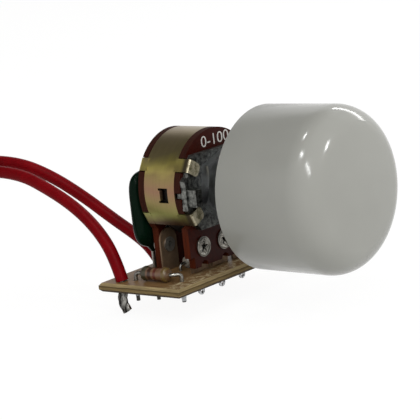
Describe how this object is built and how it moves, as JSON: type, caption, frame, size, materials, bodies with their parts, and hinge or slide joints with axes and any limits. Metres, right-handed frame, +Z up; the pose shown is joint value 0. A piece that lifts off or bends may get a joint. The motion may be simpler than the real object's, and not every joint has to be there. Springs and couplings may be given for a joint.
{
  "type": "rotary dimmer switch",
  "caption": "Rotary dimmer module: switched potentiometer on a small circuit board, with a round push-on knob and insulated leads, to vary and switch a lamp's power.",
  "frame": {"origin": "on the shaft's axis, at the front face of the bush plate, where a panel is clamped", "axes": "+Y along the shaft from the knob to the rear, +Z up from the circuit board to the shaft, +X to the right seen from the knob"},
  "size_m": [0.0385, 0.1002, 0.0304],
  "materials": {
    "knob": "glossy moulded",
    "shaft": "turned",
    "spring_steel": "spring steel",
    "die_cast": "die-cast zinc, as cast",
    "nut_steel": "dull nickel plated",
    "phenolic": "phenolic paper laminate",
    "carbon_film": "printed resistive film",
    "silver_print": "printed conductor",
    "terminal": "tinned",
    "rivet": "tinned",
    "rotor": "moulded",
    "contact": "phosphor bronze",
    "band": "yellow chromated zinc plate",
    "board": "phenolic board",
    "solder": "solder",
    "capacitor": "dipped epoxy",
    "tinned_wire": "tinned copper",
    "resistor": "lacquered",
    "diac": "moulded",
    "triac": "moulded epoxy",
    "insulation": "PVC"
  },
  "bodies": {
    "module": {"bush_nut": "nut_steel", "bush_plate": "die_cast", "capacitor_leads": "tinned_wire", "carbon_track": "carbon_film", "circuit_board": "board", "clamp_band": "band", "diac_leads": "tinned_wire", "film_capacitor": "capacitor", "lead_first": "insulation", "lead_first_end": "tinned_wire", "lead_second": "insulation", "lead_second_end": "tinned_wire", "lead_tails": "tinned_wire", "resistor_leads": "tinned_wire", "solder_joints": "solder", "switch_rivets": "rivet", "switch_terminal_left": "terminal", "switch_terminal_right": "terminal", "switch_track": "silver_print", "switch_wafer": "phenolic", "timing_resistor": "resistor", "track_rivets": "rivet", "track_terminal_centre": "terminal", "track_terminal_left": "terminal", "track_terminal_right": "terminal", "track_wafer": "phenolic", "triac": "triac", "triac_leads": "tinned_wire", "trigger_diac": "diac"},
    "spindle": {"knob": "knob", "shaft": "shaft", "retaining_clip": "spring_steel", "rotor": "rotor", "track_wiper": "contact", "switch_contact": "contact"}
  },
  "joints": [
    {"name": "spindle_turn", "type": "hinge", "parent": "module", "child": "spindle", "pos_m": [0, 0, 0], "axis": [0, 1, 0], "range_deg": [-150, 150]}
  ]
}
